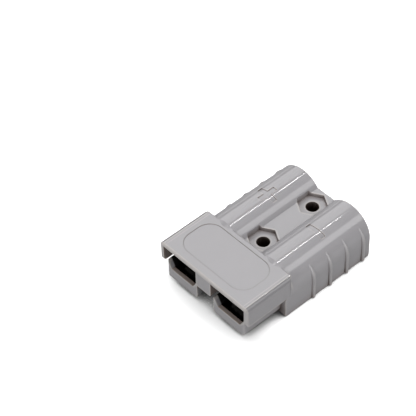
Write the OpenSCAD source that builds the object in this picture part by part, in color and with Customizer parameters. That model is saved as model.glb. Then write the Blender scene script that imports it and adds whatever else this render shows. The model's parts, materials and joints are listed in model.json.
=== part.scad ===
// Genderless two-pole power connector: a one-piece moulded housing with two leaf
// springs and two crimp contacts. Millimetres, +Z up. The mating face looks along -Y,
// the cables leave along +Y, and the housing stands on its flat underside.

/* [Housing] */
// Length from the mating face to the cable end
length = 49.2; // [47:0.1:54]
// Width of the body across the two barrels, without the grip ribs
width = 36.1; // [35:0.1:39]
// Height of the hood above the underside
hood_h = 15.15; // [14.8:0.05:16]
// Outer radius of each cable barrel
barrel_r = 8.15; // [8:0.05:8.3]
// Height of the web between the barrels
web_h = 12.55; // [12:0.05:13.2]
// Radius of the long edges along the underside
base_edge_r = 0.8; // [0.4:0.1:1.2]
// Radius of the edges round the cable end
tail_edge_r = 0.5; // [0.3:0.05:0.8]
// Length of the slope by which a barrel rises over the rear edge of the hood
barrel_lead = 1.2; // [0.8:0.1:1.8]
// Radius of the lower edge of the shoulder behind the noses
shoulder_r = 1.1; // [0.6:0.1:1.4]

/* [Hood] */
// How far the hood stands out past the body on each side
hood_step = 0.05; // [0.05:0.05:0.4]
// Length of the hood from the mating face
hood_len = 18.1; // [17.4:0.1:18.3]
// Thickness of the hood's top plate
hood_plate_t = 1.2; // [1:0.05:1.4]
// Thickness of the hood's side walls
hood_wall_t = 1.45; // [1.2:0.05:1.6]
// Radius of the hood's long top edges
hood_edge_r = 1.4; // [0.8:0.1:1.5]
// Radius of the hood's short top edges
hood_end_r = 0.6; // [0.3:0.1:0.8]
// Radius of the hood's rear corners, seen from above
hood_tail_r = 2.2; // [1.2:0.1:2.4]
// Radius of the lower front corner of each side wall
hood_corner_r = 1.2; // [0.6:0.1:2]
// Half the gap left between the walls of two mated hoods
hood_gap = 0.35; // [0.2:0.05:0.6]
// Thickness of the key that hangs in the middle of the hood
key_w = 6.1; // [5.4:0.1:6.4]
// Height of the key's lower edge above the mating plane
key_gap = 0.95; // [0.4:0.05:1.2]

/* [Label field] */
// Width of the shallow field on the hood
field_w = 27.3; // [24:0.1:29]
// Length of the field
field_len = 13.25; // [11:0.05:14]
// Offset of the field's middle from the housing's centre line
field_x = -0.75; // [-1.2:0.05:0.6]
// Distance from the mating face to the field
field_y = 3; // [2.4:0.1:3.2]
// Corner radius of the field
field_r = 4.8; // [3:0.1:5.4]
// Depth of the field
field_depth = 0.15; // [0.1:0.05:0.3]

/* [Noses] */
// Depth of the mating space, from the mating face to the body
mating_depth = 14.8; // [14.6:0.1:15.2]
// How far the noses stand back from the mating face
nose_setback = 0.65; // [0.4:0.05:0.9]
// Clearance from a nose to the hood wall beside it
nose_clear = 0.55; // [0.3:0.05:0.8]
// Clearance from a nose to the key of a mated hood
key_clear = 0.35; // [0.25:0.05:0.5]
// Clearance under a nose for the plate of a mated hood
plate_clear = 0.15; // [0.1:0.05:0.3]
// Radius of the lower edges of a nose
nose_edge_r = 1.8; // [0.8:0.1:2]
// Radius of the edges round the tip of a nose
nose_tip_r = 0.8; // [0.4:0.1:1]
// Thickness of the wall across the front of a nose
lip_t = 1.25; // [1:0.05:1.4]
// Height of that wall
lip_h = 5.6; // [5.2:0.1:5.8]
// Thickness of a nose's side walls below the lip
nose_wall_t = 1.8; // [1.5:0.1:1.9]
// Thickness of a nose's floor
nose_floor_t = 1.25; // [1:0.05:1.4]
// Length of the raised ears at the tip of a nose
ear_len = 3.6; // [3:0.1:4]
// Height of the ears above the mating plane
ear_rise = 0.65; // [0.4:0.05:0.8]
// Thickness of the ears at their top
ear_top_t = 0.35; // [0.25:0.05:0.6]

/* [Cable bores] */
// Radius of each cable entry
entry_r = 5.5; // [5.3:0.05:5.8]
// Distance from a contact's end to the cable entry
entry_gap = 0.6; // [0.2:0.1:3]
// Length of the floor that stops the contacts, behind the mating space
stop_t = 5.2; // [4.6:0.1:5.6]

/* [Mounting holes] */
// Radius of the two mounting holes
hole_r = 2.05; // [1.8:0.05:2.15]
// Distance from the hood to the middle of the first hole
hole_front = 5.3; // [5.1:0.1:5.7]
// Distance from the middle of the second hole to the cable end
hole_tail = 5.9; // [5.4:0.1:6.8]
// Size of the nut recesses across their flats
nut_flats = 8.3; // [8:0.1:8.5]
// Depth of the nut recesses
nut_depth = 1.3; // [1:0.1:1.8]

/* [Grip ribs] */
// Number of ribs on each side
rib_count = 4; // [3:1:4]
// Distance from the shoulder behind the noses to the first rib
rib_front = 11.1; // [10:0.1:12]
// Distance from the last rib to the cable end
rib_tail = 3.14; // [2.8:0.02:4]
// How far a rib stands out
rib_rise = 0.7; // [0.4:0.05:0.8]
// Radius of a rib's round crest
rib_crest_r = 0.6; // [0.4:0.05:0.8]
// Radius of a rib's upper arc
rib_arc_r = 6.6; // [6.2:0.1:7]
// Angle of that arc
rib_arc_angle = 75; // [65:1:85]
// Height of a rib's lower end above the underside
rib_foot = 0.7; // [0.5:0.1:1.5]

/* [Polarity marks] */
// Length of a mark's strokes
mark_len = 6.4; // [5:0.1:7]
// Width of a mark's strokes
mark_w = 1.6; // [1.2:0.1:2]
// Depth of the marks
mark_depth = 0.25; // [0.15:0.05:0.4]
// Distance from the middle of the marks to the cable end
mark_tail = 14.7; // [12:0.1:17]

/* [Contacts] */
// Outer radius of a contact's crimp barrel
crimp_r = 4.6; // [4.2:0.05:4.7]
// Radius of the crimp barrel's bore
crimp_bore_r = 3.1; // [2.6:0.05:3.3]
// Length of the crimp barrel
crimp_len = 15.4; // [14:0.1:16]
// Depth of the crimp barrel's bore
crimp_bore_len = 12.8; // [11:0.1:13]
// Thickness of a contact's tongue
tongue_t = 1.75; // [1.5:0.05:1.9]
// Distance from the mating face to the tip of the tongue
tongue_y = 5; // [4.4:0.1:5.6]
// Depth of the hook under the tip
hook_h = 0.4; // [0.2:0.05:0.5]
// Length of the hook
hook_len = 1; // [0.8:0.1:1.2]
// Clearance round a contact
contact_clear = 0.12; // [0.08:0.02:0.2]
// Clearance on each side of the tongue
tongue_clear = 0.38; // [0.34:0.02:0.5]

/* [Springs] */
// Thickness of a leaf spring
leaf_t = 0.5; // [0.4:0.05:0.6]
// Width of a leaf spring
leaf_w = 6.4; // [5:0.1:7]
// Length of the flat foot at each end of a spring
leaf_foot = 1.6; // [1:0.1:2.2]
// Clearance at the ends of a spring
leaf_clear = 0.1; // [0.05:0.05:0.3]

/* [Hidden] */

housing_grey = "#aeacaf";
contact_silver = "#d9dadb";
spring_steel = "#a9adb2";

far = 0.5;                                  // reach of a cut past the face that it opens
round_fn = 64;
small_fn = 24;

half_w = width / 2;
barrel_x = half_w - barrel_r;
mate_z = hood_h / 2;                        // two mated connectors meet on this plane
plate_z = hood_h - hood_plate_t;
hood_half_w = half_w + hood_step;
wall_in = hood_half_w - hood_wall_t;
wall_z = mate_z + hood_gap;
key_z = mate_z + key_gap;

nose_in = key_w / 2 + key_clear;
nose_out = wall_in - nose_clear;
nose_z = hood_plate_t + plate_clear;
nose_mid = (nose_in + nose_out) / 2;
pocket_w = nose_out - nose_in - 2 * nose_wall_t;
pocket_z = nose_z + nose_floor_t;
pocket_y = nose_setback + lip_t;
ear_z = mate_z + ear_rise;
rail_z = mate_z - ear_rise - plate_clear;   // lets the ears of a mated nose pass

stop_y = mating_depth + stop_t;
crimp_end = stop_y + crimp_len;
entry_y = crimp_end + entry_gap;
crimp_hole_r = crimp_r + contact_clear;
tongue_w = pocket_w - 2 * tongue_clear;
tongue_z = mate_z - tongue_t;
hook_y = tongue_y + tongue_t / 2;
spring_end = mating_depth + stop_t / 2;

hole_y = hood_len + hole_front;
rib_y = mating_depth + rib_front;
rib_pitch = (length - rib_tail - rib_y) / (rib_count - 1);
mark_y = length - mark_tail;

// Moves a shape measured from the mating face to the middle of the housing
module from_mating_face() {
  translate([0, -length / 2, 0]) children();
}

// Sweeps an X-Z outline along Y from y1 to y2
module along_y(y1, y2) {
  translate([0, y2, 0]) rotate([90, 0, 0]) linear_extrude(y2 - y1) children();
}

// Sweeps a Y-Z outline along X over the width w, centred
module across_x(w) {
  translate([-w / 2, 0, 0]) rotate([90, 0, 90]) linear_extrude(w) children();
}

// A rectangle from two corners
module span(x1, y1, x2, y2) {
  translate([x1, y1]) square([x2 - x1, y2 - y1]);
}

// The corner piece that is taken off a square corner at p to round it by r; sx and sy
// say on which side of p the material lies
module corner_cut(p, r, sx, sy) {
  translate(p) difference() {
    span(min(0, sx * r) - (sx > 0 ? far : 0), min(0, sy * r) - (sy > 0 ? far : 0),
         max(0, sx * r) + (sx < 0 ? far : 0), max(0, sy * r) + (sy < 0 ? far : 0));
    translate([sx * r, sy * r]) circle(r, $fn = small_fn);
  }
}

// Places its children on the left and, mirrored, on the right
module both_sides() {
  children();
  mirror([1, 0, 0]) children();
}

// The base of the body, up to the plane of the contacts
module base_block() {
  intersection() {
    along_y(mating_depth, length) difference() {
      span(-half_w, 0, half_w, mate_z);
      both_sides() corner_cut([half_w, 0], base_edge_r, -1, 1);
    }
    linear_extrude(hood_h) difference() {
      span(-half_w, mating_depth, half_w, length);
      both_sides() corner_cut([half_w, length], tail_edge_r, -1, -1);
    }
    across_x(width) difference() {
      span(mating_depth, 0, length, mate_z);
      corner_cut([length, 0], tail_edge_r, -1, 1);
      corner_cut([mating_depth, 0], shoulder_r, 1, 1);
    }
  }
}

// The web between the barrels, and the base that carries it
module web() {
  across_x(2 * barrel_x) difference() {
    span(mating_depth, shoulder_r, length, web_h);
    corner_cut([length, web_h], tail_edge_r, -1, -1);
  }
}

// The upper half of one cable barrel, with rounded rims where it leaves the hood and
// at the cable end
module barrel() {
  hood_r = hood_h - mate_z;
  lead_y = hood_len - barrel_lead;
  module rod(y1, r1, rise) {
    translate([barrel_x, y1, mate_z]) rotate([-90, 0, 0]) rotate_extrude($fn = 2 * round_fn)
      difference() {
        polygon([[0, 0], [r1, 0], [barrel_r, rise], [barrel_r, length - y1], [0, length - y1]]);
        corner_cut([barrel_r, length - y1], tail_edge_r, -1, -1);
      }
  }
  difference() {
    union() {
      rod(lead_y, hood_r, barrel_lead);
      intersection() {
        rod(mating_depth, barrel_r - tail_edge_r, tail_edge_r);
        cube([width, length, hood_h]);
      }
    }
    translate([0, 0, mate_z - barrel_r - far]) cube([width, length + far, barrel_r + far]);
  }
}

// The hood: a plate with two side walls, rounded in all three directions
module hood() {
  difference() {
    intersection() {
      along_y(0, hood_len) difference() {
        span(-hood_half_w, wall_z, hood_half_w, hood_h);
        both_sides() corner_cut([hood_half_w, hood_h], hood_edge_r, -1, -1);
      }
      linear_extrude(hood_h) difference() {
        span(-hood_half_w, 0, hood_half_w, hood_len);
        both_sides() corner_cut([hood_half_w, hood_len], hood_tail_r, -1, -1);
        both_sides() corner_cut([hood_half_w, 0], hood_end_r, -1, 1);
      }
      across_x(2 * hood_half_w) difference() {
        span(0, wall_z, hood_len, hood_h);
        corner_cut([0, hood_h], hood_end_r, 1, -1);
        corner_cut([hood_len, hood_h], hood_end_r, -1, -1);
        corner_cut([0, wall_z], hood_corner_r, 1, 1);
      }
    }
    translate([-wall_in, -far, 0]) cube([2 * wall_in, mating_depth + far, plate_z]);
  }
}

// The key that keeps two hoods in line
module key() {
  along_y(0, mating_depth + far) difference() {
    span(-key_w / 2, key_z, key_w / 2, plate_z + hood_plate_t / 2);
    both_sides() corner_cut([key_w / 2, key_z], hood_end_r, -1, 1);
  }
}

// Outline of one nose, with sloped guides that lead the other contact in
module nose_outline(top) {
  guide_x = pocket_w / 2;
  half_nose = (nose_out - nose_in) / 2;
  slope = (half_nose - ear_top_t - guide_x) / (ear_z - lip_h);
  difference() {
    span(-half_nose, nose_z, half_nose, top);
    polygon([[-guide_x, lip_h], [guide_x, lip_h], [guide_x + slope * (hood_h - lip_h), hood_h],
             [-guide_x - slope * (hood_h - lip_h), hood_h]]);
    both_sides() corner_cut([half_nose, nose_z], nose_edge_r, -1, 1);
  }
}

// One nose: a tray with a wall across its tip
module nose() {
  difference() {
    union() {
      along_y(nose_setback, nose_setback + ear_len) nose_outline(ear_z);
      along_y(nose_setback, mating_depth + far) nose_outline(rail_z);
    }
    across_x(width) corner_cut([nose_setback, nose_z], nose_tip_r, 1, 1);
    linear_extrude(hood_h) corner_cut([nose_out - nose_mid, nose_setback], nose_tip_r, -1, 1);
    translate([-pocket_w / 2, pocket_y, pocket_z]) cube([pocket_w, mating_depth, hood_h]);
  }
}

// One grip rib: an arc down the shoulder of the barrel and a straight run to the base
module rib() {
  arc_x = half_w + rib_rise - rib_arc_r;
  module crest() {
    span(rib_arc_r - 2 * rib_crest_r, -rib_crest_r, rib_arc_r - rib_crest_r, rib_crest_r);
    translate([rib_arc_r - rib_crest_r, 0]) circle(rib_crest_r, $fn = small_fn);
  }
  translate([arc_x, 0, mate_z]) rotate([90, 0, 0])
    rotate_extrude(angle = rib_arc_angle, $fn = round_fn) crest();
  translate([arc_x, 0, rib_foot]) linear_extrude(mate_z - rib_foot) crest();
}

module ribs() {
  both_sides() for (i = [0 : rib_count - 1]) translate([0, rib_y + i * rib_pitch, 0]) rib();
}

// The cuts behind a nose: the end of the spring's pocket and the slot for the tongue
module pole_slots() {
  translate([-pocket_w / 2, mating_depth - far, pocket_z])
    cube([pocket_w, spring_end - mating_depth + far, tongue_z - pocket_z]);
  translate([-pocket_w / 2, mating_depth - far, tongue_z - contact_clear])
    cube([pocket_w, stop_t + 2 * far, tongue_t + 2 * contact_clear]);
}

// The bore that holds a contact's barrel, and the wider one that takes the cable
module pole_bores() {
  translate([0, stop_y, mate_z]) rotate([-90, 0, 0])
    cylinder(r = crimp_hole_r, h = length - stop_y + far, $fn = round_fn);
  translate([0, entry_y, mate_z]) rotate([-90, 0, 0])
    cylinder(r = entry_r, h = length - entry_y + far, $fn = round_fn);
}

module mounting_holes() {
  for (y = [hole_y, length - hole_tail]) translate([0, y, 0]) {
    translate([0, 0, -far]) cylinder(r = hole_r, h = hood_h + 2 * far, $fn = round_fn);
    translate([0, 0, web_h - nut_depth]) rotate([0, 0, 90])
      cylinder(r = nut_flats / sqrt(3), h = hood_h, $fn = 6);
  }
}

module field_cut() {
  translate([field_x - field_w / 2, field_y, hood_h - field_depth])
    linear_extrude(field_depth + far) difference() {
      square([field_w, field_len]);
      for (x = [0, 1], y = [0, 1])
        corner_cut([x * field_w, y * field_len], field_r, 1 - 2 * x, 1 - 2 * y);
    }
}

// A sunk stroke that follows the barrel's curve at an even depth
module stroke_cut(len_x, len_y) {
  difference() {
    translate([-len_x / 2, mark_y - len_y / 2, mate_z]) cube([len_x, len_y, barrel_r + far]);
    along_y(mark_y - len_y, mark_y + len_y)
      translate([0, mate_z]) circle(barrel_r - mark_depth, $fn = round_fn);
  }
}

module polarity_marks() {
  translate([-barrel_x, 0, 0]) {
    stroke_cut(mark_len, mark_w);
    stroke_cut(mark_w, mark_len);
  }
  translate([barrel_x, 0, 0]) stroke_cut(mark_len, mark_w);
}

module housing() {
  color(housing_grey) from_mating_face() difference() {
    union() {
      base_block();
      web();
      both_sides() barrel();
      hood();
      key();
      both_sides() translate([nose_mid, 0, 0]) nose();
      ribs();
    }
    both_sides() translate([nose_mid, 0, 0]) pole_slots();
    both_sides() translate([barrel_x, 0, 0]) pole_bores();
    mounting_holes();
    field_cut();
    polarity_marks();
  }
}

// A leaf spring that lies in its pocket and bears on the tongue with its crown
module leaf_spring(side) {
  y1 = pocket_y + leaf_clear;
  y2 = spring_end - leaf_clear;
  rise = tongue_z - pocket_z - leaf_t;
  run = (y2 - y1) / 2 - leaf_foot;
  arc_r = (run * run + rise * rise) / (2 * rise);
  top = pocket_z + leaf_t + rise;
  color(spring_steel) from_mating_face() translate([side * nose_mid, 0, 0]) across_x(leaf_w)
    union() {
      span(y1, pocket_z, y1 + leaf_foot, pocket_z + leaf_t);
      span(y2 - leaf_foot, pocket_z, y2, pocket_z + leaf_t);
      difference() {
        translate([(y1 + y2) / 2, top - arc_r]) circle(arc_r, $fn = 2 * round_fn);
        translate([(y1 + y2) / 2, top - arc_r]) circle(arc_r - leaf_t, $fn = 2 * round_fn);
        span(-2 * arc_r, -3 * arc_r, length + arc_r, pocket_z);
      }
    }
}

// A contact: a crimp barrel with a flat tongue whose tip hooks down
module contact(side) {
  color(contact_silver) from_mating_face() difference() {
    union() {
      translate([side * nose_mid, 0, 0]) across_x(tongue_w) union() {
        span(hook_y, tongue_z, stop_y + tongue_t, mate_z);
        translate([hook_y, mate_z - tongue_t / 2])
          circle(tongue_t / 2, $fn = small_fn);
        span(hook_y, tongue_z - hook_h, hook_y + hook_len, mate_z - tongue_t / 2);
      }
      translate([side * barrel_x, stop_y, mate_z]) rotate([-90, 0, 0])
        cylinder(r = crimp_r, h = crimp_len, $fn = round_fn);
    }
    translate([side * barrel_x, crimp_end - crimp_bore_len, mate_z]) rotate([-90, 0, 0])
      cylinder(r = crimp_bore_r, h = crimp_bore_len + far, $fn = round_fn);
  }
}

module spring_positive() { leaf_spring(-1); }
module spring_negative() { leaf_spring(1); }
module contact_positive() { contact(-1); }
module contact_negative() { contact(1); }

housing();
spring_positive();
spring_negative();
contact_positive();
contact_negative();
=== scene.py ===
"""Looks of a genderless power connector: semi-gloss moulded grey housing, silver-plated
contacts and stainless leaf springs, lit like a small studio shot. Metres, +Z up."""

import json
import math

import bpy
from mathutils import Matrix, Vector


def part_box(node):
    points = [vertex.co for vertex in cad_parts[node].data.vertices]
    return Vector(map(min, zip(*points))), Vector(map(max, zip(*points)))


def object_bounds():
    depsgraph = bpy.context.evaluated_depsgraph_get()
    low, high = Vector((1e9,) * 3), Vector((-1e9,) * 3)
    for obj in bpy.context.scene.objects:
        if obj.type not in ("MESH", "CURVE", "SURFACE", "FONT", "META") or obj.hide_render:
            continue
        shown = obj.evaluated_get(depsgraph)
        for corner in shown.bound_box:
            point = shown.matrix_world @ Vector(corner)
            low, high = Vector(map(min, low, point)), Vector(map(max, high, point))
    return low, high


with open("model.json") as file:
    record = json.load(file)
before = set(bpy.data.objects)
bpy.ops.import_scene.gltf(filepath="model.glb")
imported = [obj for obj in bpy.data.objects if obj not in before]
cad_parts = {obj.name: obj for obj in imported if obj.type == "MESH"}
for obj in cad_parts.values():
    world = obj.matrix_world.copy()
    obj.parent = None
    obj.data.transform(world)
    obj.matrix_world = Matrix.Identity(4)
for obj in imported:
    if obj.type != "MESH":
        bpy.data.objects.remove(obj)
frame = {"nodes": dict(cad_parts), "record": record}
cad_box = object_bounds()

MM = 0.001
MATING_FACE_Y = cad_box[0].y

# ---------------------------------------------------------------- measures of the part
# Depths run back from the mating face and heights run up from the underside

# The mouths: half the width inside the outer faces of a nose, the underside of the hood,
# how far the painted shade reaches past the springs, and the length over which it comes in
MOUTH_HALF_W = 6.3 * MM
MOUTH_ROOF = 14.0 * MM
MOUTH_EDGE = 0.15 * MM
MOUTH_FADE = 0.4 * MM

# The hood: half its width, its length, the inner faces of its side walls, its top and the
# radius of its long top edges
HOOD_HALF_W = 18.1 * MM
HOOD_LENGTH = 18.1 * MM
HOOD_WALL_IN = 16.65 * MM
HOOD_TOP = 15.15 * MM
HOOD_EDGE_R = 1.4 * MM

# The noses: the top of their lips and half the width of the tunnel between them
LIP_TOP = 5.6 * MM
TUNNEL_HALF_W = 3.45 * MM

# The shallow field on the hood: its middle, half its size and its corners
FIELD_MIDDLE = (-0.75 * MM, 9.625 * MM)
FIELD_HALF = (13.65 * MM, 6.625 * MM)
FIELD_CORNER = 4.8 * MM

# ---------------------------------------------------------------- painted highlights and shade, worn metal, gloss and grain

# The painted highlight on the front rim of the hood fades between these depths, and is weaker
# on its walls
FRONT_RIM_FADE = (0.75 * MM, 0.30 * MM)
WALL_RIM_SHARE = 0.5

# Lines of painted highlight beside the start of the hood's rounded top edges: place, half
# width, strength
EDGE_LINES = ((-0.75 * MM, 0.22 * MM, 0.55), (0.12 * MM, 0.26 * MM, 1.0))

# The painted highlight line at the hood's rear edge: how far in front of it, its inner and
# outer half width, and the heights between which it comes in
REAR_LINE_IN = 0.25 * MM
REAR_LINE_HALF = (0.1 * MM, 0.5 * MM)
REAR_LINE_RISE = (8.5 * MM, 13.0 * MM)

# Where the drawn normal turns from up to sideways on the rounded edges, how much it still
# leans up there, and how square to the side a face has to be
EDGE_TURN = (0.05 * MM, 0.40 * MM)
EDGE_LEAN = 0.60
EDGE_SQUARE = (0.2, 0.6)

# The painted shade along the outline of the field: half its width, and how far below the hood's
# top it starts
FIELD_LINE = 0.28 * MM
FIELD_BELOW = 0.4 * MM

# Painted brown shade in the nooks of the mating end: how straight a face has to look up or
# sideways, how near it has to be to a lip's top or a side wall, where the key begins above
# the lips, and the depths between which the painted shade fades
STRAIGHT = 0.8
LIP_NEAR = 0.3 * MM
WALL_NEAR = 0.2 * MM
KEY_ABOVE = 0.4 * MM
NOOK_FADE = (9.0 * MM, 6.0 * MM)
TUNNEL_FADE = (1.0 * MM, 4.0 * MM)

# How strongly each mark shows: painted highlights on the edges, the front rim and the hood's
# lines, worn copper and steel edges, painted shade along the field's outline and under the key
EDGE_HIGHLIGHT = 0.35
COPPER_WEAR = 0.3
STEEL_WEAR = 0.5
FRONT_RIM_HIGHLIGHT = 0.42
HOOD_LINE_HIGHLIGHT = 0.50
FIELD_SHADE = 0.42
TUNNEL_SHADE = 0.7

# How open a place is to the air, where the painted shade of shelter begins and where it is full
SHELTER_RANGE = (0.70, 0.30)

# The middle part of a noise, spread over a range of roughness
NOISE_RANGE = (0.3, 0.7)
PLASTIC_ROUGHNESS = (0.36, 0.44)
PLATE_ROUGHNESS = (0.22, 0.34)
STEEL_ROUGHNESS = (0.24, 0.38)
FLOOR_ROUGHNESS = (0.85, 0.95)

# The skin's gloss fades between these slants to this share
GLOSS_SLANT = (0.50, 0.72)
GLOSS_LEFT = 0.03

# Grain as a bump: strength and height. Along the springs it is drawn out into streaks
PLASTIC_BUMP = (0.05, 0.02 * MM)
PLATE_BUMP = (0.06, 0.01 * MM)
STREAK_STRETCH = (1.0, 0.04, 1.0)

# ---------------------------------------------------------------- colours

BODY_DARK = (0.226, 0.220, 0.228, 1)
BODY_LIGHT = (0.244, 0.237, 0.246, 1)
RIM_HIGHLIGHT = (0.47, 0.44, 0.405, 1)
FIELD_SHADE_GREY = (0.09, 0.085, 0.085, 1)
SHELTER_SHADE_TINT = (0.92, 0.78, 0.70, 1)
NOOK_SHADE_TINT = (0.76, 0.66, 0.59, 1)
SUNK_SHADE_BROWN = (0.012, 0.006, 0.004, 1)
MOUTH_SHADE_BLACK = (0.0015, 0.0010, 0.0010, 1)
SILVER_DULL = (0.80, 0.78, 0.73, 1)
SILVER_BRIGHT = (0.90, 0.89, 0.87, 1)
COPPER = (0.86, 0.70, 0.55, 1)
STEEL_DARK = (0.50, 0.51, 0.53, 1)
STEEL_LIGHT = (0.68, 0.69, 0.71, 1)
STEEL_EDGE = (0.82, 0.82, 0.83, 1)
MOUTH_SHADE_METAL = (0.022, 0.021, 0.020, 1)
BLACK = (0.0, 0.0, 0.0, 1)
WHITE = (1.0, 1.0, 1.0, 1)

# ---------------------------------------------------------------- studio

# Camera: azimuth, elevation and roll in degrees, lens in millimetres, how high its foot is
# on the mating face, and how far it stands from there along its own right, up and back
VIEW_AZIMUTH = 48.948
VIEW_ELEVATION = 46.811
VIEW_ROLL = -2.032
VIEW_LENS = 145.72
VIEW_SENSOR = 36
VIEW_FOOT = 0.197 * MM
VIEW_OFFSET = Vector((1.123, 29.083, 480.81)) * MM
VIEW_CLIP = (0.01, 10)

# Lights: the direction is from the housing and the level is the radiance of the face.
# The strips run along the barrels and draw the lines of light on them
SKY_LEVEL = 0.03
STUDIO_LIGHTS = (
    # name, direction, distance, size, level
    ("top_softbox", (0.0, 0.0, 1.0), 1.60, (1.20, 1.20), 4.25),
    ("front_softbox", (0.0, -0.940, 0.342), 1.60, (1.20, 1.20), 4.65),
    ("left_softbox", (-0.906, 0.0, 0.423), 1.60, (1.20, 1.20), 1.30),
    ("back_softbox", (-0.663, 0.383, 0.643), 1.60, (1.20, 1.20), 1.95),
    ("right_softbox", (0.940, 0.0, 0.342), 1.60, (1.20, 1.20), 3.25),
    ("shoulder_softbox", (0.533, 0.450, 0.717), 0.60, (0.22, 0.45), 2.80),
    ("crown_strip", (-0.188, 0.405, 0.895), 0.60, (0.009, 0.16), 60.0),
    ("flank_strip", (-0.890, 0.450, 0.073), 0.60, (0.05, 0.45), 1.99),
)

# Floor: its rings are radius and height. For the camera it is over-exposed, by the lift.
# For the part it throws back less light, by the bounce
FLOOR_RINGS = ((0.8, 0.0), (1.6, 0.0), (2.2, 0.02))
FLOOR_SIDES = 96
FLOOR_BOUNCE = (0.34, 0.34, 0.34, 1)
FLOOR_LIFT = (0.30, 0.30, 0.30, 1)
FLOOR_WHITES = ((0.93, 0.93, 0.93, 1), (0.95, 0.95, 0.95, 1))
FLOOR_NOOK_SHADOW = (0.22, 0.22, 0.22, 1)
FLOOR_DEEP_SHADOW = (0.05, 0.05, 0.05, 1)

# Painted floor shadow: reach, and the openness at which it is full and gone, for the nooks,
# for the deepest of them, and for the faint wide shadow that lies in front of the noses
NOOK_REACH = 14 * MM
NOOK_RANGE = (0.22, 0.50)
DEEP_RANGE = (0.05, 0.25)
WIDE_REACH = 40 * MM
WIDE_RANGE = (0.60, 0.95)
WIDE_DEPTH = 0.27
WIDE_FADE = (14 * MM, 2 * MM)

# Spacing of the nodes in the editor
COLUMN_GAP, ROW_GAP = 220, 200


# ---------------------------------------------------------------- node building

class Wire:
    """What a node gives out. Wires that carry numbers can be used in plain arithmetic, and
    a comparison gives 1 or 0."""

    def __init__(self, socket):
        self.socket = socket
        self.tree = socket.id_data

    def __abs__(self):
        return arithmetic("ABSOLUTE", self)

    def __add__(self, other):
        return arithmetic("ADD", self, other)

    def __sub__(self, other):
        return arithmetic("SUBTRACT", self, other)

    def __rsub__(self, other):
        return arithmetic("SUBTRACT", other, self)

    def __mul__(self, other):
        return arithmetic("MULTIPLY", self, other)

    def __truediv__(self, other):
        return arithmetic("DIVIDE", self, other)

    def __lt__(self, other):
        return arithmetic("LESS_THAN", self, other)

    def __gt__(self, other):
        return arithmetic("GREATER_THAN", self, other)


def tree_of(*values):
    """The node tree of the first wire among the values."""
    return next(value.tree for value in values if isinstance(value, Wire))


def feed(socket, value):
    """Links the socket to a wire, or sets it to a plain value."""
    if isinstance(value, Wire):
        value.tree.links.new(value.socket, socket)
    else:
        socket.default_value = value


def give(node, **values):
    """Feeds a node's inputs by name, with _ for a space."""
    for name, value in values.items():
        feed(node.inputs[name.replace("_", " ")], value)


def add_node(tree, kind, **settings):
    """A node of the given kind, with its own settings by name."""
    node = tree.nodes.new(kind)
    for name, value in settings.items():
        setattr(node, name, value)
    return node


def wire(node, name):
    """The wire from one of a node's outputs."""
    return Wire(node.outputs[name])


def arithmetic(operation, *values):
    """Works on one or two values, of which at least one is a wire."""
    node = add_node(tree_of(*values), "ShaderNodeMath", operation=operation)
    for socket, value in zip(node.inputs, values):
        feed(socket, value)
    return Wire(node.outputs[0])


def larger(a, b):
    return arithmetic("MAXIMUM", a, b)


def smaller(a, b):
    return arithmetic("MINIMUM", a, b)


def ramp(value, low, high, to_low=0.0, to_high=1.0):
    """Smooth step of value from low..high to to_low..to_high."""
    node = add_node(value.tree, "ShaderNodeMapRange", interpolation_type="SMOOTHSTEP")
    give(node, Value=value, From_Min=low, From_Max=high, To_Min=to_low, To_Max=to_high)
    return wire(node, "Result")


def mix(factor, a, b, blend="MIX"):
    """Mixes colours a and b."""
    node = add_node(tree_of(factor, a, b), "ShaderNodeMix", data_type="RGBA", blend_type=blend)
    for number, value in ((0, factor), (6, a), (7, b)):
        feed(node.inputs[number], value)
    return Wire(node.outputs[2])


def mix_normals(factor, a, b):
    """Blends normals a and b, and brings the result to length 1."""
    node = add_node(a.tree, "ShaderNodeMix", data_type="VECTOR")
    for number, value in ((0, factor), (4, a), (5, b)):
        feed(node.inputs[number], value)
    even = add_node(a.tree, "ShaderNodeVectorMath", operation="NORMALIZE")
    feed(even.inputs[0], Wire(node.outputs[1]))
    return wire(even, "Vector")


def spot(tree):
    """Where a point is on the part, in metres."""
    return wire(add_node(tree, "ShaderNodeTexCoord"), "Object")


def facing(tree):
    """Which way the surface looks."""
    return wire(add_node(tree, "ShaderNodeNewGeometry"), "Normal")


def axes(vector):
    """The X, Y and Z of a vector."""
    node = add_node(vector.tree, "ShaderNodeSeparateXYZ")
    give(node, Vector=vector)
    return [Wire(socket) for socket in node.outputs]


def noise(tree, scale, detail, roughness=0.5, vector=None):
    """Even noise about 0.5, over the vector or over the whole of the piece."""
    node = add_node(tree, "ShaderNodeTexNoise")
    give(node, Scale=scale, Detail=detail, Roughness=roughness)
    if vector:
        give(node, Vector=vector)
    return wire(node, "Fac")


def air(tree, reach, **settings):
    """How open a place is to the air within reach: 1 in the open, 0 when shut in."""
    node = add_node(tree, "ShaderNodeAmbientOcclusion", samples=8, **settings)
    give(node, Distance=reach)
    return wire(node, "AO")


def bumped(height, normal, strength, distance):
    """The normal with a height raised on it."""
    node = add_node(height.tree, "ShaderNodeBump")
    give(node, Height=height, Normal=normal, Strength=strength, Distance=distance)
    return wire(node, "Normal")


def for_camera(tree):
    """1 where the camera looks straight at the surface."""
    return wire(add_node(tree, "ShaderNodeLightPath"), "Is Camera Ray")


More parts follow.
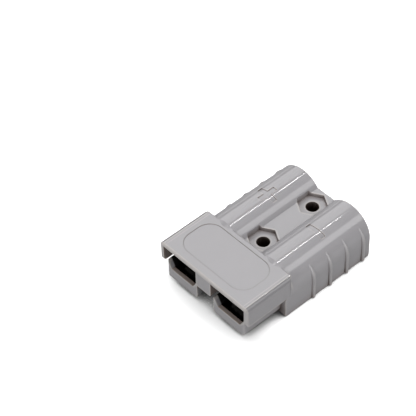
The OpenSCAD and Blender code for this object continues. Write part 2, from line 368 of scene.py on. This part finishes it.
def new_group(name, inputs, *outputs):
    """A shared effect with nothing in it yet. inputs gives each input its first value: a
    number, or three for a vector. Of the outputs, only Normal is a vector. Returns the
    tree, a wire from each input, and the node that takes the outputs."""
    tree = bpy.data.node_groups.new(name, "ShaderNodeTree")
    for label, value in inputs.items():
        kind = "NodeSocketFloat" if isinstance(value, float) else "NodeSocketVector"
        socket = tree.interface.new_socket(label, in_out="INPUT", socket_type=kind)
        socket.default_value = value
    for label in outputs:
        kind = "NodeSocketVector" if label == "Normal" else "NodeSocketFloat"
        tree.interface.new_socket(label, in_out="OUTPUT", socket_type=kind)
    source = add_node(tree, "NodeGroupInput")
    given = {label: wire(source, label) for label in inputs}
    return tree, given, add_node(tree, "NodeGroupOutput")


def use(tree, group, **values):
    """Puts a shared effect into a material; values feed its inputs, with _ for a space."""
    node = add_node(tree, "ShaderNodeGroup", node_tree=group)
    give(node, **values)
    return node


def lay_out(tree):
    """Sets the nodes in columns, each one to the left of every node that it feeds."""
    column = dict.fromkeys(tree.nodes.keys(), 0)
    for _ in column:
        for link in tree.links:
            source, target = link.from_node.name, link.to_node.name
            column[source] = max(column[source], column[target] + 1)
    rows = dict.fromkeys(column.values(), 0)
    for name, place in column.items():
        tree.nodes[name].location = (-COLUMN_GAP * place, -ROW_GAP * rows[place])
        rows[place] += 1


# ---------------------------------------------------------------- shared effects

def surface_grain():
    """Fine surface grain and slow mottling of a moulded or plated surface."""
    tree, given, sink = new_group(
        "surface_grain", {"Grain Scale": 6000.0, "Mottle Scale": 120.0}, "Grain", "Mottle")
    here = spot(tree)
    give(sink, Grain=noise(tree, given["Grain Scale"], detail=1.0, vector=here),
         Mottle=noise(tree, given["Mottle Scale"], detail=3.0, vector=here))
    return tree


def rounded_edges():
    """Edge is 1 on edges and rims with little material behind them. Normal rounds the
    edges."""
    tree, given, sink = new_group(
        "rounded_edges",
        {"Radius": 0.3 * MM, "Rim Depth": 0.9 * MM, "Solid": 0.88, "Thin": 0.62},
        "Edge", "Normal")
    backing = air(tree, given["Rim Depth"], inside=True, only_local=True)
    bevel = add_node(tree, "ShaderNodeBevel", samples=6)
    give(bevel, Radius=given["Radius"])
    give(sink, Edge=ramp(backing, given["Solid"], given["Thin"]), Normal=wire(bevel, "Normal"))
    return tree


def deep_places():
    """Openness is 1 on open faces and falls to 0 down in pockets, mouths and bores, where brown
    shade is painted. Shelter rises from 0 to 1 under ledges and beside walls, where warm shade
    is painted."""
    tree, given, sink = new_group(
        "deep_places", {"Reach": 7 * MM, "Dark": 0.20, "Open": 0.55}, "Openness", "Shelter")
    shade = air(tree, given["Reach"])
    give(sink, Openness=ramp(shade, given["Dark"], given["Open"]),
         Shelter=ramp(shade, *SHELTER_RANGE))
    return tree


def mouth_shade():
    """Shade is 1 inside the two mouths, behind the lips of the noses, and 0 outside."""
    low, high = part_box("spring_negative")
    tree, given, sink = new_group(
        "mouth_shade",
        {"Middle": (low.x + high.x) / 2, "Half Width": MOUTH_HALF_W,
         "Front": low.y - MOUTH_EDGE, "Fade": MOUTH_FADE, "Back": high.y + MOUTH_EDGE,
         "Floor": low.z - MOUTH_EDGE, "Roof": MOUTH_ROOF},
        "Shade")
    x, y, z = axes(spot(tree))
    across = abs(abs(x) - given["Middle"]) < given["Half Width"]
    upright = (z > given["Floor"]) * (z < given["Roof"])
    along = ramp(y, given["Front"], given["Front"] + given["Fade"]) * (y < given["Back"])
    give(sink, Shade=across * upright * along)
    return tree


def hood_rims():
    """Mouth is 1 on the front of the hood's plate, and weaker on the front of its walls, for a
    painted highlight on the rim. Line is on the fine lines of painted highlight along its long
    top edges and up its rear edges. Normal draws the long top edges tighter."""
    tree, given, sink = new_group(
        "hood_rims",
        {"Front": MATING_FACE_Y, "Length": HOOD_LENGTH, "Half Width": HOOD_HALF_W,
         "Wall": HOOD_WALL_IN, "Roof": MOUTH_ROOF, "Top": HOOD_TOP,
         "Edge Radius": HOOD_EDGE_R, "Normal": (0.0, 0.0, 0.0)},
        "Mouth", "Line", "Normal")
    x, y, z = axes(spot(tree))
    depth = y - given["Front"]
    off = abs(x)
    past = off - (given["Half Width"] - given["Edge Radius"])
    on_hood = depth < given["Length"]
    on_plate = z > given["Roof"]
    on_edge = past > 0.0

    front = larger((off > given["Wall"]) * WALL_RIM_SHARE, on_plate)
    give(sink, Mouth=front * ramp(depth, *FRONT_RIM_FADE))

    lines = 0.0
    for place, half, strength in EDGE_LINES:
        lines = larger(ramp(abs(past - place), 0.0, half, strength, 0.0), lines)
    beside = abs(given["Length"] - depth - REAR_LINE_IN)
    rear = ramp(beside, *REAR_LINE_HALF, 1.0, 0.0) * on_edge * ramp(z, *REAR_LINE_RISE)
    give(sink, Line=larger(lines * on_hood * on_plate, rear))

    upright = ramp(past, *EDGE_TURN, 1.0, 0.0)
    tight = add_node(tree, "ShaderNodeCombineXYZ")
    give(tight, X=arithmetic("SIGN", x) * (1.0 - upright),
         Z=larger(upright, (1.0 - past / given["Edge Radius"]) * EDGE_LEAN))
    _, lengthways, _ = axes(facing(tree))
    square = ramp(abs(lengthways), *EDGE_SQUARE, 1.0, 0.0)
    on_round = square * on_edge * on_hood * (z > given["Top"] - given["Edge Radius"])
    give(sink, Normal=mix_normals(on_round, given["Normal"], wire(tight, "Vector")))
    return tree


def mating_nooks():
    """Nook is 1 on the tops of the lips, the insides of the hood's walls and the sides of
    the key, for painted brown shade. Tunnel rises to 1 under the key, between the noses, for
    painted dark shade."""
    tree, given, sink = new_group(
        "mating_nooks",
        {"Front": MATING_FACE_Y, "Length": HOOD_LENGTH, "Wall": HOOD_WALL_IN,
         "Lip Top": LIP_TOP, "Half Tunnel": TUNNEL_HALF_W},
        "Nook", "Tunnel")
    x, y, z = axes(spot(tree))
    sideways, _, upward = axes(facing(tree))
    depth = y - given["Front"]
    off = abs(x)
    above = z - given["Lip Top"]
    between = off < given["Half Tunnel"]
    lips = (upward > STRAIGHT) * (abs(above) < LIP_NEAR)
    inner = larger(abs(off - given["Wall"]) < WALL_NEAR, between)
    walls = (abs(sideways) > STRAIGHT) * (above > KEY_ABOVE) * inner
    tunnel = between * (above < KEY_ABOVE) * (depth < given["Length"])
    give(sink, Nook=larger(lips, walls) * ramp(depth, *NOOK_FADE),
         Tunnel=tunnel * ramp(depth, *TUNNEL_FADE))
    return tree


def field_outline():
    """The output is 1 along the outline of the shallow field on the hood, for a painted line of
    shade.
    """
    tree, given, sink = new_group(
        "field_outline",
        {"Middle X": FIELD_MIDDLE[0], "Middle Y": MATING_FACE_Y + FIELD_MIDDLE[1],
         "Half X": FIELD_HALF[0], "Half Y": FIELD_HALF[1], "Corner": FIELD_CORNER,
         "Line": FIELD_LINE, "Low": HOOD_TOP - FIELD_BELOW},
        "Groove")
    x, y, z = axes(spot(tree))
    # How far a point is past the straight part of the sides, across and along
    across, along = (
        abs(place - given["Middle " + axis]) - (given["Half " + axis] - given["Corner"])
        for place, axis in ((x, "X"), (y, "Y")))
    outer = [larger(distance, 0.0) for distance in (across, along)]
    outside = arithmetic("SQRT", outer[0] * outer[0] + outer[1] * outer[1])
    inside = smaller(larger(across, along), 0.0)
    away = abs(outside + inside - given["Corner"])
    give(sink, Groove=ramp(away, 0.0, given["Line"], 1.0, 0.0) * (z > given["Low"]))
    return tree


GRAIN = surface_grain()
EDGES = rounded_edges()
DEEP = deep_places()
MOUTHS = mouth_shade()
RIMS = hood_rims()
NOOKS = mating_nooks()
FIELD = field_outline()


# ---------------------------------------------------------------- materials

def new_material(name):
    """A material with its node tree and its shader."""
    material = bpy.data.materials.new(name)
    material.use_nodes = True
    tree = material.node_tree
    return material, tree, tree.nodes["Principled BSDF"]


def housing_plastic():
    """Semi-gloss grey polycarbonate: even colour, fine moulded grain, painted highlights on the
    edges and painted shade in the insides."""
    material, tree, shader = new_material("housing_plastic")
    grain = use(tree, GRAIN, Grain_Scale=5200.0, Mottle_Scale=90.0)
    edges = use(tree, EDGES, Radius=0.2 * MM)
    rims = use(tree, RIMS, Normal=wire(edges, "Normal"))
    places = use(tree, DEEP)
    nooks = use(tree, NOOKS)
    mottle = wire(grain, "Mottle")
    field_shadow = wire(use(tree, FIELD), "Groove")
    inside = wire(use(tree, MOUTHS), "Shade")
    # Openness is made lower under the key, between the noses, for painted shade there
    openness = wire(places, "Openness") * (1.0 - wire(nooks, "Tunnel") * TUNNEL_SHADE)

    # Painted highlight: pale rims on the edges, the hood's front rim and the lines along its
    # top edges
    rim_highlight = larger(wire(edges, "Edge") * EDGE_HIGHLIGHT, wire(rims, "Mouth") * FRONT_RIM_HIGHLIGHT)
    colour = mix(mottle, BODY_DARK, BODY_LIGHT)
    colour = mix(larger(rim_highlight, wire(rims, "Line") * HOOD_LINE_HIGHLIGHT), colour, RIM_HIGHLIGHT)
    # Painted shade: a grey line along the outline of the sunk field
    colour = mix(field_shadow * FIELD_SHADE, colour, FIELD_SHADE_GREY)
    # Painted warm shade under ledges and beside walls
    colour = mix(wire(places, "Shelter"), colour, SHELTER_SHADE_TINT, "MULTIPLY")
    # Painted brown shade in the nooks of the mating end
    colour = mix(wire(nooks, "Nook"), colour, NOOK_SHADE_TINT, "MULTIPLY")
    # Painted brown shade down in pockets, bores and under the key
    colour = mix(openness, SUNK_SHADE_BROWN, colour)
    # Painted near-black shade inside the mouths
    colour = mix(inside, colour, MOUTH_SHADE_BLACK)

    # The satin skin doesn't mirror the lights at a low angle
    slant = wire(add_node(tree, "ShaderNodeLayerWeight"), "Facing")
    satin = ramp(slant, *GLOSS_SLANT, 1.0, GLOSS_LEFT)
    give(shader, Base_Color=colour, IOR=1.5, Specular_IOR_Level=0.2,
         Roughness=ramp(mottle, *NOISE_RANGE, *PLASTIC_ROUGHNESS),
         Coat_Weight=openness * (1.0 - inside) * satin, Coat_Roughness=0.05, Coat_IOR=1.5,
         Normal=bumped(wire(grain, "Grain"), wire(rims, "Normal"), *PLASTIC_BUMP))
    return material


def contact_plating():
    """Satin silver plate on copper: warm tarnish in the mottling, fine draw marks."""
    material, tree, shader = new_material("contact_plating")
    grain = use(tree, GRAIN, Grain_Scale=3000.0, Mottle_Scale=260.0)
    edges = use(tree, EDGES, Radius=0.15 * MM)
    mottle = wire(grain, "Mottle")
    plate = mix(mottle, SILVER_DULL, SILVER_BRIGHT)
    worn = mix(wire(edges, "Edge") * COPPER_WEAR, plate, COPPER)
    # Inside the mouths the plate is painted near black, as shade
    give(shader, Metallic=1.0,
         Base_Color=mix(wire(use(tree, MOUTHS), "Shade"), worn, MOUTH_SHADE_METAL),
         Roughness=ramp(mottle, *NOISE_RANGE, *PLATE_ROUGHNESS),
         Normal=bumped(wire(grain, "Grain"), wire(edges, "Normal"), *PLATE_BUMP))
    return material


def spring_steel():
    """Rolled stainless strip: grain drawn out along the strip, bright edges."""
    material, tree, shader = new_material("spring_steel")
    along = add_node(tree, "ShaderNodeMapping")
    give(along, Vector=spot(tree), Scale=STREAK_STRETCH)
    streaks = noise(tree, scale=9000.0, detail=2.0, roughness=0.6, vector=wire(along, "Vector"))
    edges = use(tree, EDGES, Radius=0.08 * MM, Rim_Depth=0.3 * MM)
    strip = mix(streaks, STEEL_DARK, STEEL_LIGHT)
    worn = mix(wire(edges, "Edge") * STEEL_WEAR, strip, STEEL_EDGE)
    # Inside the mouths the strip is painted near black, as shade
    give(shader, Metallic=1.0,
         Base_Color=mix(wire(use(tree, MOUTHS), "Shade"), worn, MOUTH_SHADE_METAL),
         Roughness=ramp(streaks, *NOISE_RANGE, *STEEL_ROUGHNESS), Normal=wire(edges, "Normal"))
    return material


def floor_white():
    """A smooth, over-lit white sweep, a trace uneven. Shadow is painted on it in the nooks
    under the part, and faintly in front of the noses, where the front light is blocked."""
    material, tree, shader = new_material("floor_white")
    seen = for_camera(tree)
    cloud = noise(tree, scale=4.0, detail=2.0)
    # Painted shadow on the floor: dark in the nooks under the part, faint in front of the noses
    nook = air(tree, NOOK_REACH)
    _, y, _ = axes(spot(tree))
    before = ramp(y, *(MATING_FACE_Y + depth for depth in WIDE_FADE))
    wide = ramp(air(tree, WIDE_REACH), *reversed(WIDE_RANGE), 0.0, WIDE_DEPTH)
    open_floor = ramp(nook, *NOOK_RANGE) * (1.0 - before * wide)
    shaded = mix(ramp(nook, *DEEP_RANGE), FLOOR_DEEP_SHADOW, FLOOR_NOOK_SHADOW)
    give(shader,
         Base_Color=mix(seen, FLOOR_BOUNCE, mix(open_floor, shaded, mix(cloud, *FLOOR_WHITES))),
         Roughness=ramp(cloud, *NOISE_RANGE, *FLOOR_ROUGHNESS), Specular_IOR_Level=0.1,
         Emission_Color=mix(seen * open_floor, BLACK, FLOOR_LIFT), Emission_Strength=1.0)
    return material


FINISHES = {
    "housing_plastic": housing_plastic(),
    "contact_plating": contact_plating(),
    "spring_steel": spring_steel(),
}

for subpart in frame["record"]["subparts"]:
    node = frame["nodes"][subpart["node"]]
    node.data.materials.clear()
    node.data.materials.append(FINISHES[subpart["material_slot"]])


# ---------------------------------------------------------------- floor, lights, camera

def stand(name, data, place, right, up, back):
    """Puts a lamp or a camera in the studio; it looks away from back."""
    holder = bpy.data.objects.new(name, data)
    bpy.context.scene.collection.objects.link(holder)
    turn = Matrix((right, up, back)).transposed().to_4x4()
    holder.matrix_world = Matrix.Translation(place) @ turn
    return holder


def softbox(aim, name, direction, distance, size, level):
    """A rectangular light that faces aim; its second side runs as near to +Y as it can."""
    lamp = bpy.data.lights.new(name, "AREA")
    lamp.shape = "RECTANGLE"
    lamp.size, lamp.size_y = size
    lamp.energy = level * math.pi * size[0] * size[1]
    back = Vector(direction).normalized()
    along = (Vector((0, 1, 0)) - back * back.y).normalized()
    stand(name, lamp, aim + back * distance, along.cross(back), along, back)


def floor():
    """A large floor with a gently raised rim, level with the underside."""
    verts = [(0, 0, 0)]
    for radius, height in FLOOR_RINGS:
        for side in range(FLOOR_SIDES):
            angle = 2 * math.pi * side / FLOOR_SIDES
            verts.append((radius * math.cos(angle), radius * math.sin(angle), height))
    faces = []
    for side in range(FLOOR_SIDES):
        following = (side + 1) % FLOOR_SIDES
        faces.append((0, 1 + side, 1 + following))
        for ring in range(len(FLOOR_RINGS) - 1):
            inner = 1 + ring * FLOOR_SIDES
            outer = inner + FLOOR_SIDES
            faces.append((inner + side, outer + side, outer + following, inner + following))
    mesh = bpy.data.meshes.new("floor")
    mesh.from_pydata(verts, [], faces)
    mesh.materials.append(floor_white())
    sweep = bpy.data.objects.new("floor", mesh)
    bpy.context.scene.collection.objects.link(sweep)
    sweep.location.z = cad_box[0].z


def sky():
    """A dim, even surround that the camera sees as white."""
    world = bpy.data.worlds.new("studio")
    world.use_nodes = True
    tree = world.node_tree
    give(tree.nodes["Background"], Color=WHITE,
         Strength=ramp(for_camera(tree), 0.0, 1.0, SKY_LEVEL, 1.0))
    bpy.context.scene.world = world


def camera():
    """The camera is placed from the foot of the mating face."""
    azimuth, elevation = math.radians(VIEW_AZIMUTH), math.radians(VIEW_ELEVATION)
    back = Vector((math.sin(azimuth) * math.cos(elevation),
                   -math.cos(azimuth) * math.cos(elevation), math.sin(elevation)))
    right = Vector((math.cos(azimuth), math.sin(azimuth), 0))
    up = back.cross(right)
    roll = math.radians(VIEW_ROLL)
    right, up = (right * math.cos(roll) + up * math.sin(roll),
                 up * math.cos(roll) - right * math.sin(roll))
    foot = Vector((0, MATING_FACE_Y, VIEW_FOOT))
    place = foot + right * VIEW_OFFSET.x + up * VIEW_OFFSET.y + back * VIEW_OFFSET.z
    data = bpy.data.cameras.new("camera")
    data.lens = VIEW_LENS
    data.sensor_width = VIEW_SENSOR
    data.clip_start, data.clip_end = VIEW_CLIP
    bpy.context.scene.camera = stand("camera", data, place, right, up, back)


floor()
sky()
housing_middle = (cad_box[0] + cad_box[1]) / 2
for light in STUDIO_LIGHTS:
    softbox(housing_middle, *light)
camera()
bpy.context.scene.view_settings.view_transform = "Standard"

for owner in (*bpy.data.materials, *bpy.data.worlds):
    if owner.node_tree:
        lay_out(owner.node_tree)
for group in bpy.data.node_groups:
    lay_out(group)
